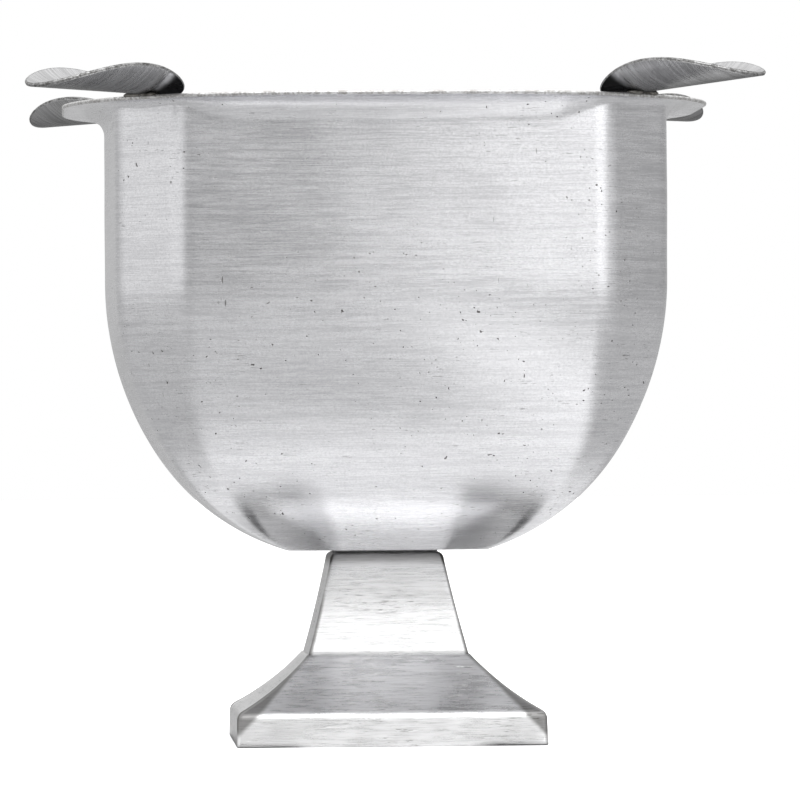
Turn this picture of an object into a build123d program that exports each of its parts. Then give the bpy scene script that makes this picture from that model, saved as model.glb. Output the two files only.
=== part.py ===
from build123d import *
import os
from math import cos, pi, radians, sin, sqrt, tan

# Pedestal cigar ashtray: a deep sheet bowl with four troughs on its rim, bolted to a square foot.
# Millimetres, +Z up. The origin is the centre of the face that it stands on, and its front is -Y.

# Heights above the surface that it stands on
rim_height = 199.3
bowl_floor_height = 60.3
base_height = 27.7
plinth_height = 9.7

# Bowl: a drawn sheet with four wide faces, four corner facets and a flared rim
bowl_sheet = 1.2
face_distance = 87.25
face_crown = 3.0
facet_leg = 19.0
floor_half_width = 31.57
floor_crown = 0.6
floor_facet_leg = 1.8
facet_crown = 0.25
ridge_round = 2.0
side_upper_radius, side_upper_turn, side_end_turn = 99.4, radians(31.6), radians(72.6)
corner_upper_radius, corner_upper_turn, corner_end_turn = 82.5, radians(50.0), radians(75.0)
flange_overhang = 13.35
flange_corner_radius = 80.0
flange_crown = 0.3
flare_radius = 7.5
flare_share_of_overhang = 0.85
body_steps, flare_steps = 10, 6

# Rests: troughs bent from sheet, each cut to the outline of a leaf
rest_sheet = 1.2
rest_half_width = 17.0
rest_bend_past_half_width = 7.2
rest_inner_length = 29.3
rest_outer_length = 29.3
rest_centre_past_flange = 14.4
rest_gap = 0.5

# Each rest is set by hand, so each one's outer end is lifted by its own angle, in degrees
rest_lift_front_right = 3.8
rest_lift_back_right = 0.6
rest_lift_back_left = -0.9
rest_lift_front_left = 0.6

# Filler beads between a rest and the flange
bead_start = 3.2
bead_width = 4.6
bead_inward = 2.6
bead_outward = 1.0
bead_height = 2.6
bead_round = 0.8

# Foot: a hollow tapered column on a hollow plinth
column_top_half_width = 17.3
column_bottom_half_width = 25.0
column_hollow_out = 0.25
column_wall = 3.0
column_top_wall = 4.0
column_top_round = 2.4
column_corner_round = 1.2
base_half_width = 48.1
plinth_draft = 0.25
plinth_edge_round = 2.0
slope_start_inset = 1.0
slope_hollow = 1.1
slope_top_ledge = 0.4
base_wall = 3.4
base_top_wall = 4.0
spigot_height = 1.6
spigot_clearance = 0.3
spigot_wall = 3.0

# Bottom cover, pressed into a rebate in the plinth
cover_sheet = 1.2
cover_clearance = 0.15
cover_ledge = 2.2
felt_thickness = 1.6

# Tie bolt, its nut and washers
bolt_radius = 4.0
bolt_hole_clearance = 0.4
thread_clearance = 0.08
head_height = 5.3
head_across_flats = 13.0
nut_height = 6.8
thread_past_nut = 3.0
shank_point_chamfer = 0.8
washer_radius, washer_thickness = 12.0, 1.6
spring_washer_radius, spring_washer_thickness = 7.4, 2.0
spring_washer_slit = 1.4
seal_radius, seal_thickness = 11.0, 1.0
gasket_thickness = 0.6
gasket_inset = 1.4

flange_underside = rim_height - bowl_sheet
flange_half_width = face_distance + flange_overhang
rest_bend_radius = rest_half_width + rest_bend_past_half_width
bolt_hole_radius = bolt_radius + bolt_hole_clearance
floor_top = bowl_floor_height + bowl_sheet
column_top = bowl_floor_height - gasket_thickness
base_top_underside = base_height - base_top_wall
half_diagonal = sqrt(0.5)


def two_arc_reach(height, top_reach, floor_reach, upper_radius, upper_turn, end_turn, inset):
    """Distance from the axis to a wall that curves under in two tangent arcs, seen in profile."""
    lower_radius = top_reach - floor_reach - upper_radius * (1 - cos(upper_turn))
    lower_radius /= cos(upper_turn) - cos(end_turn)
    drop = upper_radius * sin(upper_turn) + lower_radius * (sin(end_turn) - sin(upper_turn))
    start = bowl_floor_height + drop
    below = start - height
    radius = upper_radius - inset
    if below <= 0:
        return top_reach - inset
    if below <= radius * sin(upper_turn):
        return top_reach - upper_radius + sqrt(radius**2 - below**2)
    step = upper_radius - lower_radius
    centre_reach = top_reach - upper_radius + step * cos(upper_turn)
    centre_height = start - step * sin(upper_turn)
    return centre_reach + sqrt((lower_radius - inset) ** 2 - (height - centre_height) ** 2)


def facet_distance(leg, distance, crown):
    """Distance of a corner facet from the axis, from the leg it cuts off a face's end."""
    return (2 * (distance - crown) - leg) * half_diagonal


def wall_plan(height, inset):
    """Face distance, face crown and facet distance of the bowl's wall at a height."""
    face = two_arc_reach(
        height, face_distance, floor_half_width, side_upper_radius, side_upper_turn, side_end_turn, inset
    )
    full = two_arc_reach(
        height, face_distance, floor_half_width, side_upper_radius, side_upper_turn, side_end_turn, 0
    )
    rise = (full - floor_half_width) / (face_distance - floor_half_width)
    crown = floor_crown + (face_crown - floor_crown) * rise
    corner_top = facet_distance(facet_leg, face_distance, face_crown)
    corner_floor = facet_distance(floor_facet_leg, floor_half_width, floor_crown)
    corner = two_arc_reach(
        height, corner_top, corner_floor, corner_upper_radius, corner_upper_turn, corner_end_turn, inset
    )
    return face, crown, corner


def on_flange(direction):
    """Point of the flange's outline, a rounded square, in a direction given by a vector."""
    away = direction.normalized()
    centre = flange_half_width - flange_corner_radius
    if abs(away.X) * flange_half_width <= centre * abs(away.Y):
        return away * (flange_half_width / abs(away.Y))
    if abs(away.Y) * flange_half_width <= centre * abs(away.X):
        return away * (flange_half_width / abs(away.X))
    along = centre * (abs(away.X) + abs(away.Y))
    across = centre * (abs(away.X) - abs(away.Y))
    return away * (along + sqrt(flange_corner_radius**2 - across**2))


def flared(point, height, inset):
    """A wall point moved outwards by the flare, which is tighter where the flange is narrow."""
    wall = point + point.normalized() * inset
    overhang = (on_flange(point) - wall).length
    radius = min(flare_radius, flare_share_of_overhang * overhang)
    rise = height - (flange_underside - radius)
    if rise <= 0:
        return point
    outer = radius + inset
    return point + point.normalized() * (outer - sqrt(max(0.0, outer**2 - rise**2)))


def quadrant_points(height, inset):
    """Ends and middles of the six arcs of one quarter of a section, from the front face's centre."""
    face, crown, corner = wall_plan(height, inset)
    ridge_y = face - crown
    ridge_x = corner / half_diagonal - ridge_y
    ridge = Vector(ridge_x, -ridge_y)
    facet_half = (ridge_y - ridge_x) * half_diagonal
    tangent_length = min(ridge_round, 0.35 * facet_half)
    crown_radius = (ridge_x**2 + crown**2) / (2 * crown)

    def on_face(x):
        return Vector(x, -(face - crown_radius + sqrt(crown_radius**2 - x**2)))

    flat_end = (flange_half_width - flange_corner_radius) / flange_half_width * ridge_x
    face_end = on_face(ridge_x - tangent_length)
    facet_start = ridge + Vector(half_diagonal, half_diagonal) * tangent_length
    chord_middle = (face_end + facet_start) / 2
    ridge_middle = ridge + (chord_middle - ridge).normalized() * tangent_length * tan(pi / 16)
    facet_middle = Vector(1, -1) * half_diagonal * (corner + facet_crown)

    def mirrored(point):
        return Vector(-point.Y, -point.X)

    ends = [on_face(flat_end), face_end, facet_start]
    middles = [on_face((flat_end + face_end.X) / 2), ridge_middle]
    points = [ends[0], middles[0], ends[1], middles[1], ends[2], facet_middle]
    points += [mirrored(point) for point in (ends[2], middles[1], ends[1], middles[0], ends[0])]
    return on_face(0), points


def section(height, inset):
    """Closed outline of the bowl's wall at a height, as 24 arcs."""
    face_middle, quarter = quadrant_points(height, inset)
    face_start = Vector(-quarter[0].X, quarter[0].Y)
    edges = []
    for turn in range(4):
        arcs = [quarter[first : first + 3] for first in range(0, len(quarter) - 1, 2)]
        arcs.append([face_start, face_middle, quarter[0]])
        for arc in arcs:
            moved = [flared(point, height, inset).rotate(Axis.Z, 90 * turn) for point in arc]
            edges.append(ThreePointArc(*[Vector(point.X, point.Y, height) for point in moved]))
    return Face(Wire(edges))


def wall_form(bottom, inset):
    """Filled form of the bowl's wall and flare, drawn in from the outside by an inset."""
    flare_start = flange_underside - flare_radius
    flare_rise = flare_radius + inset
    rise = flare_start - bottom
    body_heights = [bottom + rise * (step / body_steps) ** 1.5 for step in range(body_steps + 1)]
    flare_turns = [radians(90 * step / flare_steps) for step in range(flare_steps + 1)]
    body = loft([section(height, inset) for height in body_heights])
    flare = loft([section(flare_start + flare_rise * sin(turn), inset) for turn in flare_turns])
    return body + flare


def flange_outline():
    """Rounded square outline of the flange, with slightly crowned sides."""
    centre = flange_half_width - flange_corner_radius
    edges = []
    for turn in range(4):
        corner_start = Vector(centre, -flange_half_width)
        corner_middle = Vector(1, -1) * (centre + flange_corner_radius * half_diagonal)
        corner_end = Vector(flange_half_width, -centre)
        side_middle = Vector(flange_half_width + flange_crown, 0)
        side_end = Vector(flange_half_width, centre)
        for points in ((corner_start, corner_middle, corner_end), (corner_end, side_middle, side_end)):
            edges.append(ThreePointArc(*[point.rotate(Axis.Z, 90 * turn) for point in points]))
    return Face(Wire(edges))


def bowl_outside():
    """The bowl's outer form as a filled solid, with the flange plate on top."""
    plate = extrude(Pos(0, 0, flange_underside) * flange_outline(), bowl_sheet)
    return wall_form(bowl_floor_height, 0) + plate


def make_bowl(outside):
    """Drawn shell with the bolt's hole in its floor."""
    inside = wall_form(floor_top, bowl_sheet)
    hole = Pos(0, 0, bowl_floor_height) * Cylinder(bolt_hole_radius, 4 * bowl_sheet)
    return outside - inside - hole


def flange_corner_reach():
    """Distance from the axis to the flange's edge on a diagonal."""
    centre = flange_half_width - flange_corner_radius
    return centre / half_diagonal + flange_corner_radius


def place_rest(shape, turn, lift):
    """Move a shape from the rest's own frame to its diagonal: X outwards, Z up from its lowest line."""
    reach = flange_corner_reach()
    seat = Pos(reach, 0, rim_height + rest_gap) * Rot(0, -lift, 0)
    return Rot(0, 0, turn) * seat * Pos(rest_centre_past_flange, 0, 0) * shape


def leaf_outline():
    """Outline of a flat rest: half an ellipse inwards and half an ellipse outwards."""
    inner = Ellipse(rest_inner_length, rest_half_width)
    outer = Ellipse(rest_outer_length, rest_half_width)
    big = 2 * rest_inner_length
    left = Pos(-big / 2, 0) * Rectangle(big, big)
    right = Pos(big / 2, 0) * Rectangle(big, big)
    return (inner & left) + (outer & right)


def rest_in_own_frame():
    """Sheet trough, bent to a cylinder along X and cut to the leaf's outline."""
    length = 3 * rest_inner_length
    outer = Cylinder(rest_bend_radius + rest_sheet, length)
    inner = Cylinder(rest_bend_radius, 1.1 * length)
    pipe = Pos(0, 0, rest_bend_radius + rest_sheet) * Rot(0, 90, 0) * (outer - inner)
    blank = extrude(leaf_outline(), rest_bend_radius)
    return pipe & blank


def rest_envelope():
    """The rest's rolled form as a filled cylinder, to trim what fits against its underside."""
    rod = Cylinder(rest_bend_radius + rest_sheet, 3 * rest_inner_length)
    return Pos(0, 0, rest_bend_radius + rest_sheet) * Rot(0, 90, 0) * rod


def make_beads(turn, lift, outside):
    """Two filler beads under the sides of a rest, at the flange's edge."""
    inner = flange_corner_reach() - bead_inward
    length = bead_inward + bead_outward
    height_middle = rim_height - bowl_sheet + (bead_height + bowl_sheet) / 2
    beads = []
    for side in (-1, 1):
        middle = Vector(inner + length / 2, side * (bead_start + bead_width / 2), height_middle)
        blank = Pos(middle) * Box(length, bead_width, bead_height + bowl_sheet)
        beads.append(Rot(0, 0, turn) * fillet(blank.edges().filter_by(Axis.Z), bead_round))
    trimmed = [bead - outside - place_rest(rest_envelope(), turn, lift) for bead in beads]
    return Compound(children=[bead.solids().sort_by(SortBy.VOLUME)[-1] for bead in trimmed])


def mitred(profile):
    """Square form with one profile on all four sides, from its right half drawn on XZ."""
    full = profile + mirror(profile, Plane.YZ)
    reach = 3 * base_half_width
    along_y = extrude(full, reach, both=True)
    return along_y & (Rot(0, 0, 90) * along_y)


def column_profile(inset, bottom, top, top_round):
    """Half profile of the column between two heights, drawn in by a wall's thickness."""
    slope = (column_bottom_half_width - column_top_half_width) / (column_top - base_height)

    def reach(height):
        return column_bottom_half_width - inset - slope * (height - base_height)

    low = Vector(reach(bottom), 0, bottom)
    high = Vector(reach(top - top_round), 0, top - top_round)
    middle = (low + high) / 2 - Vector(column_hollow_out, 0, 0)
    shoulder = Vector(high.X - top_round, 0, top)
    side = ThreePointArc(low, middle, high)
    edges = [Line((0, 0, bottom), low), side]
    if top_round:
        edges.append(TangentArc(high, shoulder, tangent=side % 1))
    edges.append(Line(shoulder, (0, 0, top)))
    edges.append(Line((0, 0, top), (0, 0, bottom)))
    return Face(Wire(edges))


def make_column():
    """Hollow tapered column, closed at the top except for the bolt's hole."""
    outside = mitred(column_profile(0, base_height, column_top, column_top_round))
    corners = [edge for edge in outside.edges() if edge.bounding_box().size.Z > column_top_round / 2]
    outside = fillet(corners, column_corner_round)
    inside = mitred(column_profile(column_wall, base_height, column_top - column_top_wall, 0))
    hole = Pos(0, 0, column_top) * Cylinder(bolt_hole_radius, 3 * column_top_wall)
    return outside - inside - hole


def base_profile():
    """Half profile of the base: plinth, rounded edge and concave slope."""
    plinth_top = base_half_width - plinth_draft
    slope_foot = Vector(plinth_top - slope_start_inset, 0, plinth_height)
    slope_head = Vector(column_bottom_half_width + slope_top_ledge, 0, base_height)
    middle = (slope_foot + slope_head) / 2 + Vector(-1, 0, -1).normalized() * slope_hollow
    round_low = Vector(plinth_top, 0, plinth_height - plinth_edge_round)
    round_middle = Vector(plinth_top - 0.3 * slope_start_inset, 0, plinth_height - 0.4 * plinth_edge_round)
    edges = [
        Line((0, 0, 0), (base_half_width, 0, 0)),
        Line((base_half_width, 0, 0), round_low),
        ThreePointArc(round_low, round_middle, slope_foot),
        ThreePointArc(slope_foot, middle, slope_head),
        Line(slope_head, (0, 0, base_height)),
        Line((0, 0, base_height), (0, 0, 0)),
    ]
    return Face(Wire(edges))


def base_hollow_profile():
    """Half profile of the space inside the base, above the cover."""
    ledge = cover_half_width() - cover_ledge
    top = base_top_underside
    plinth_inner = Vector(ledge, 0, plinth_height - base_wall)
    head = Vector(column_bottom_half_width - base_wall, 0, top)
    edges = [
        Line((0, 0, 0), (ledge, 0, 0)),
        Line((ledge, 0, 0), plinth_inner),
        Line(plinth_inner, head),
        Line(head, (0, 0, top)),
        Line((0, 0, top), (0, 0, 0)),
    ]
    return Face(Wire(edges))


def cover_half_width():
    """Half width of the bottom cover."""
    return base_half_width - base_wall - cover_clearance


def make_base():
    """Hollow plinth with a spigot that centres the column and a rebate for the cover."""
    solid = mitred(base_profile()) - mitred(base_hollow_profile())
    rebate_height = cover_sheet + felt_thickness
    rebate_width = 2 * (cover_half_width() + cover_clearance)
    rebate = Pos(0, 0, rebate_height / 2) * Box(rebate_width, rebate_width, rebate_height)
    spigot_width = 2 * (column_bottom_half_width - column_wall - spigot_clearance) - 2 * column_hollow_out
    spigot_middle = Pos(0, 0, base_height + spigot_height / 2)
    spigot = spigot_middle * Box(spigot_width, spigot_width, spigot_height)
    recess_width = spigot_width - 2 * spigot_wall
    recess = spigot_middle * Box(recess_width, recess_width, spigot_height)
    hole = Pos(0, 0, base_top_underside) * Cylinder(bolt_hole_radius, 4 * base_top_wall)
    return solid - rebate + (spigot - recess) - hole


def disc(radius, thickness, bottom, hole_radius):
    """Flat ring standing on a height."""
    height = Pos(0, 0, bottom + thickness / 2)
    return height * (Cylinder(radius, thickness) - Cylinder(hole_radius, 2 * thickness))


def hexagon(across_flats, height, bottom):
    """Hexagonal prism with its corners chamfered at both ends."""
    prism = extrude(RegularPolygon(across_flats / 2, 6, major_radius=False), height)
    cone_reach = across_flats / 2 / cos(radians(30))
    drop = (cone_reach - across_flats / 2) * tan(radians(30))
    profile = [
        (0, 0), (across_flats / 2, 0), (cone_reach, drop),
        (cone_reach, height - drop), (across_flats / 2, height), (0, height),
    ]
    turned = revolve(Plane.XZ * make_face(Polyline(*profile, close=True)), Axis.Z)
    return Pos(0, 0, bottom) * (prism & turned)


def make_tie_bolt(head_bottom, end):
    """Hexagon bolt, head up, with a plain shank in place of its thread."""
    shank = Pos(0, 0, (head_bottom + end) / 2) * Cylinder(bolt_radius, head_bottom - end)
    shank = chamfer(shank.faces().sort_by(Axis.Z)[0].edges(), shank_point_chamfer)
    return hexagon(head_across_flats, head_height, head_bottom) + shank


def make_spring_washer(bottom):
    """Lock washer with one slit."""
    ring = disc(spring_washer_radius, spring_washer_thickness, bottom, bolt_hole_radius)
    slit_length = spring_washer_radius
    slit_place = Pos(slit_length, 0, bottom + spring_washer_thickness / 2)
    return ring - slit_place * Box(2 * slit_length, spring_washer_slit, 2 * spring_washer_thickness)


def make_nut(bottom):
    """Hexagon nut with a plain bore in place of its thread."""
    bore = Pos(0, 0, bottom) * Cylinder(bolt_radius + thread_clearance, 3 * nut_height)
    return hexagon(head_across_flats, nut_height, bottom) - bore


def square_plate(half_width, thickness, bottom):
    """Flat square plate standing on a height."""
    return Pos(0, 0, bottom + thickness / 2) * Box(2 * half_width, 2 * half_width, thickness)


def main():
    """Build every piece and write it to its own file."""
    os.makedirs("parts", exist_ok=True)
    outside = bowl_outside()
    pieces = {"bowl": make_bowl(outside), "column": make_column(), "base": make_base()}

    corners = {
        "front_right": (-45, rest_lift_front_right), "back_right": (45, rest_lift_back_right),
        "back_left": (135, rest_lift_back_left), "front_left": (-135, rest_lift_front_left),
    }
    for corner, (turn, lift) in corners.items():
        pieces["rest_" + corner] = place_rest(rest_in_own_frame(), turn, lift)
        pieces["braze_" + corner] = make_beads(turn, lift, outside)

    head_bottom = floor_top + seal_thickness + washer_thickness
    spring_bottom = base_top_underside - washer_thickness - spring_washer_thickness
    nut_bottom = spring_bottom - nut_height
    pieces["bowl_seal"] = disc(seal_radius, seal_thickness, floor_top, bolt_hole_radius)
    pieces["bolt_washer"] = disc(washer_radius, washer_thickness, floor_top + seal_thickness, bolt_hole_radius)
    pieces["tie_bolt"] = make_tie_bolt(head_bottom, nut_bottom - thread_past_nut)
    gasket_hole = Pos(0, 0, column_top) * Cylinder(bolt_hole_radius, 4 * gasket_thickness)
    gasket = square_plate(column_top_half_width - gasket_inset, gasket_thickness, column_top)
    pieces["column_gasket"] = gasket - gasket_hole
    pieces["nut_washer"] = disc(
        washer_radius, washer_thickness, base_top_underside - washer_thickness, bolt_hole_radius
    )
    pieces["spring_washer"] = make_spring_washer(spring_bottom)
    pieces["tie_nut"] = make_nut(nut_bottom)
    pieces["base_cover"] = square_plate(cover_half_width(), cover_sheet, felt_thickness)
    pieces["base_felt"] = square_plate(cover_half_width(), felt_thickness, 0)

    for name, shape in pieces.items():
        export_step(shape, f"parts/{name}.step")


main()
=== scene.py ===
"""Pedestal cigar ashtray: a deep brushed bowl with four troughs on its rim and a square foot.

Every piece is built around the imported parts, in metres, with +Z up and the front facing -Y.
"""

import logging
import math
from dataclasses import dataclass, field
from enum import Enum
from typing import Any

import bpy
import numpy as np
from mathutils import Matrix, Vector


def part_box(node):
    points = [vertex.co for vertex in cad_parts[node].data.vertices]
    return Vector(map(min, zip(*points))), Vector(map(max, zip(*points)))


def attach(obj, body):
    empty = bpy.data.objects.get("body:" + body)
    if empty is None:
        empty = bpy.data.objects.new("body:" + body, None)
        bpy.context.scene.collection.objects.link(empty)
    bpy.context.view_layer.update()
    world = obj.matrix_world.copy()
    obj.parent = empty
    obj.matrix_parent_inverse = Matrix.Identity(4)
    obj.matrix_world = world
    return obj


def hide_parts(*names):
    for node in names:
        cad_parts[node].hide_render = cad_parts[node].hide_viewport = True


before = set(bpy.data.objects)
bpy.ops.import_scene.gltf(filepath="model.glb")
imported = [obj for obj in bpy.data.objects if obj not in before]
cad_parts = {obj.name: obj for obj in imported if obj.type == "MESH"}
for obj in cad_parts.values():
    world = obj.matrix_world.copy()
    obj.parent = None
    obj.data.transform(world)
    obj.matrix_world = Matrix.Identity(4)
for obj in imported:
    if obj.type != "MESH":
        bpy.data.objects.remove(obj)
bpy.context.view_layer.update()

MM = 0.001
BODY = "root"
Colour = tuple[float, float, float]
Triple = tuple[float, float, float]
Span = tuple[float, float]

MIDDLE = 0.5
CORNER_STEPS = 7
MIX_FIRST, MIX_SECOND, MIX_RESULT = 6, 7, 2
METAL = {"Metallic": 1.0}
LEVEL_BRUSHING = {"Anisotropic Rotation": 0.25}

log = logging.getLogger("ashtray")


# ---------------------------------------------------------------- material maths


class Value:
    """One output of a material's nodes, used in expressions like a plain number."""

    def __init__(self, graph: "Graph", socket: bpy.types.NodeSocket) -> None:
        """Wrap a socket.

        Args:
            graph: the graph that the socket belongs to.
            socket: the output that carries the value.
        """
        self.graph = graph
        self.socket = socket

    def _math(self, operation: str, first: Any, second: Any = None) -> "Value":
        """Add one Math node.

        Args:
            operation: the Math node's operation.
            first: its first number or value.
            second: its second number or value, if it takes one.

        Returns:
            The node's result.
        """
        inputs = {0: first} if second is None else {0: first, 1: second}
        return self.graph.node("ShaderNodeMath", inputs, {"operation": operation})

    def __add__(self, other: Any) -> "Value":
        """Sum."""
        return self._math("ADD", self, other)

    def __radd__(self, other: Any) -> "Value":
        """Sum, from the right."""
        return self._math("ADD", other, self)

    def __sub__(self, other: Any) -> "Value":
        """Difference."""
        return self._math("SUBTRACT", self, other)

    def __rsub__(self, other: Any) -> "Value":
        """Difference, from the right."""
        return self._math("SUBTRACT", other, self)

    def __mul__(self, other: Any) -> "Value":
        """Product."""
        return self._math("MULTIPLY", self, other)

    def __rmul__(self, other: Any) -> "Value":
        """Product, from the right."""
        return self._math("MULTIPLY", other, self)

    def __truediv__(self, other: Any) -> "Value":
        """Quotient."""
        return self._math("DIVIDE", self, other)

    def __abs__(self) -> "Value":
        """Distance from zero."""
        return self._math("ABSOLUTE", self)

    def lowest(self, other: Any) -> "Value":
        """The smaller of the two."""
        return self._math("MINIMUM", self, other)

    def highest(self, other: Any) -> "Value":
        """The larger of the two."""
        return self._math("MAXIMUM", self, other)

    def rise(self, start: float, end: float) -> "Value":
        """Smooth step.

        Args:
            start: where the step is still at 0.
            end: where the step has reached 1.

        Returns:
            A value from 0 to 1.
        """
        settings = {"interpolation_type": "SMOOTHSTEP"}
        inputs = {"Value": self, "From Min": start, "From Max": end}
        return self.graph.node("ShaderNodeMapRange", inputs, settings)


class Graph:
    """The node tree of one material or world, built from expressions."""

    def __init__(self, name: str) -> None:
        """Start an empty material.

        Args:
            name: the material's name.
        """
        self.material = bpy.data.materials.new(name)
        self.material.use_nodes = True
        self.tree = self.material.node_tree
        self.tree.nodes.clear()

    @classmethod
    def of_world(cls, world: bpy.types.World) -> "Graph":
        """Start on an empty world.

        Args:
            world: the world, which already uses nodes.

        Returns:
            Its graph.
        """
        graph = cls.__new__(cls)
        graph.tree = world.node_tree
        graph.tree.nodes.clear()
        return graph

    def node(
        self,
        kind: str,
        inputs: dict[Any, Any],
        settings: dict[str, Any] | None = None,
        output: Any = 0,
    ) -> Value:
        """Add a node of any type.

        Args:
            kind: the node's type.
            inputs: numbers or values for its sockets, by name or place.
            settings: its own options, set before its sockets. "stops" fills a colour ramp.
            output: the output that is wanted, by name or place.

        Returns:
            That output.
        """
        made = self.tree.nodes.new(kind)
        for key, setting in (settings or {}).items():
            if key == "stops":
                self._fill_ramp(made, setting)
            else:
                setattr(made, key, setting)
        for key, given in inputs.items():
            if isinstance(given, Value):
                self.tree.links.new(given.socket, made.inputs[key])
            else:
                made.inputs[key].default_value = given
        return Value(self, made.outputs[output])

    @staticmethod
    def _fill_ramp(ramp: bpy.types.Node, stops: tuple[tuple[float, float], ...]) -> None:
        """Set a colour ramp's stops.

        Args:
            ramp: the colour ramp node.
            stops: pairs of position and grey level, in order.
        """
        elements = ramp.color_ramp.elements
        while len(elements) < len(stops):
            elements.new(MIDDLE)
        for element, (position, level) in zip(elements, stops):
            element.position = position
            element.color = (level, level, level, 1.0)

    def place(self) -> Value:
        """Position on the object, in metres."""
        return self.node("ShaderNodeTexCoord", {}, output="Object")

    def axes(self, vector: Value) -> tuple[Value, Value, Value]:
        """Split a vector.

        Args:
            vector: the vector to split.

        Returns:
            Its X, Y and Z.
        """
        first = self.node("ShaderNodeSeparateXYZ", {0: vector})
        outputs = first.socket.node.outputs
        return first, Value(self, outputs[1]), Value(self, outputs[2])

    def stretched(self, scale: Triple, turn: Triple = (0.0, 0.0, 0.0)) -> Value:
        """Position turned and then scaled, so that a pattern runs along one direction.

        Args:
            scale: how many cells of the pattern a metre holds, along each axis.
            turn: rotation of the object's axes to the pattern's, in radians.

        Returns:
            The new vector.
        """
        turned = self.node(
            "ShaderNodeMapping", {"Vector": self.place(), "Rotation": turn}, {"vector_type": "POINT"}
        )
        inputs = {0: turned, 1: scale}
        return self.node("ShaderNodeVectorMath", inputs, {"operation": "MULTIPLY"})

    def noise(self, vector: Value, detail: float = 2.0, rough: float = 0.5) -> Value:
        """Cloudy pattern.

        Args:
            vector: where it is read, one cell to a unit.
            detail: octaves.
            rough: how strong the finer octaves are.

        Returns:
            A value from 0 to 1.
        """
        inputs = {"Vector": vector, "Scale": 1.0, "Detail": detail, "Roughness": rough}
        return self.node("ShaderNodeTexNoise", inputs)

    def blend(self, share: Any, first: Any, second: Any) -> Value:
        """Mix two colours.

        Args:
            share: how much of the second colour is used.
            first: the colour at share 0.
            second: the colour at share 1.

        Returns:
            The mixed colour.
        """
        inputs = {0: share, MIX_FIRST: _rgba(first), MIX_SECOND: _rgba(second)}
        return self.node("ShaderNodeMix", inputs, {"data_type": "RGBA"}, output=MIX_RESULT)

    def eased(self, share: Any, dark: Any, light: Any, contrast: float) -> Value:
        """Mix a dark and a light colour, keeping only a part of the contrast.

        Args:
            share: how much of the light colour is used.
            dark: the colour at share 0.
            light: the colour at share 1, which the mix is eased towards.
            contrast: how much of the contrast is kept.

        Returns:
            The mixed colour.
        """
        return self.blend(contrast, light, self.blend(share, dark, light))

    def bump(self, height: Value, depth: float, strength: float) -> Value:
        """Normal that follows a small relief.

        Args:
            height: the relief, from 0 to 1.
            depth: how deep it is, in metres.
            strength: how strongly it shows.

        Returns:
            The normal.
        """
        inputs = {"Height": height, "Distance": depth, "Strength": strength}
        return self.node("ShaderNodeBump", inputs)

    def finish(self, varying: dict[str, Value], constant: dict[str, Any]) -> bpy.types.Material:
        """Close the material with its surface shader.

        Args:
            varying: sockets of the shader that change over the surface.
            constant: sockets that are the same all over.

        Returns:
            The material.
        """
        shader = self.node("ShaderNodeBsdfPrincipled", {**constant, **varying})
        self.node_output(shader)
        return self.material

    def node_output(self, shader: Value, kind: str = "ShaderNodeOutputMaterial") -> None:
        """Send a shader to the output of the material or world."""
        output = self.tree.nodes.new(kind)
        self.tree.links.new(shader.socket, output.inputs["Surface"])


def _rgba(colour: Any) -> Any:
    """A colour with its alpha, or the value that it already is."""
    return colour if isinstance(colour, Value) else (*colour, 1.0)


# ---------------------------------------------------------------- finishes


def even(cells: float) -> Triple:
    """The same number of cells in a metre along all axes."""
    return (cells, cells, cells)


def uneven(base: float, *swings: tuple[Value, float]) -> Value:
    """A number that swings with patterns.

    Args:
        base: its value where every pattern is at its middle.
        swings: pairs of a pattern and how far it carries the number.

    Returns:
        The number over the surface.
    """
    total: Any = base
    for pattern, swing in swings:
        total = total + (pattern - MIDDLE) * swing
    return total


@dataclass(frozen=True)
class Grain:
    """A cloudy pattern, which may be finer along one axis than along another."""

    cells: Triple
    detail: float = 2.0
    rough: float = 0.5
    turn: Triple = (0.0, 0.0, 0.0)

    def on(self, graph: Graph, turn: Triple | None = None) -> Value:
        """The pattern on a material.

        Args:
            graph: the material's nodes.
            turn: rotation of the pattern, where it isn't its own.

        Returns:
            A value from 0 to 1.
        """
        return graph.noise(graph.stretched(self.cells, turn or self.turn), self.detail, self.rough)


@dataclass(frozen=True)
class Marks:
    """Small dark marks of one kind, strewn in patches."""

    shape: Grain
    step: Span
    patches: Grain
    patch_step: Span
    strength: float

    def on(self, graph: Graph) -> Value:
        """Strength of the marks on a material, from 0 to their strength."""
        marks = self.shape.on(graph).rise(*self.step)
        return marks * self.patches.on(graph).rise(*self.patch_step) * self.strength


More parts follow.
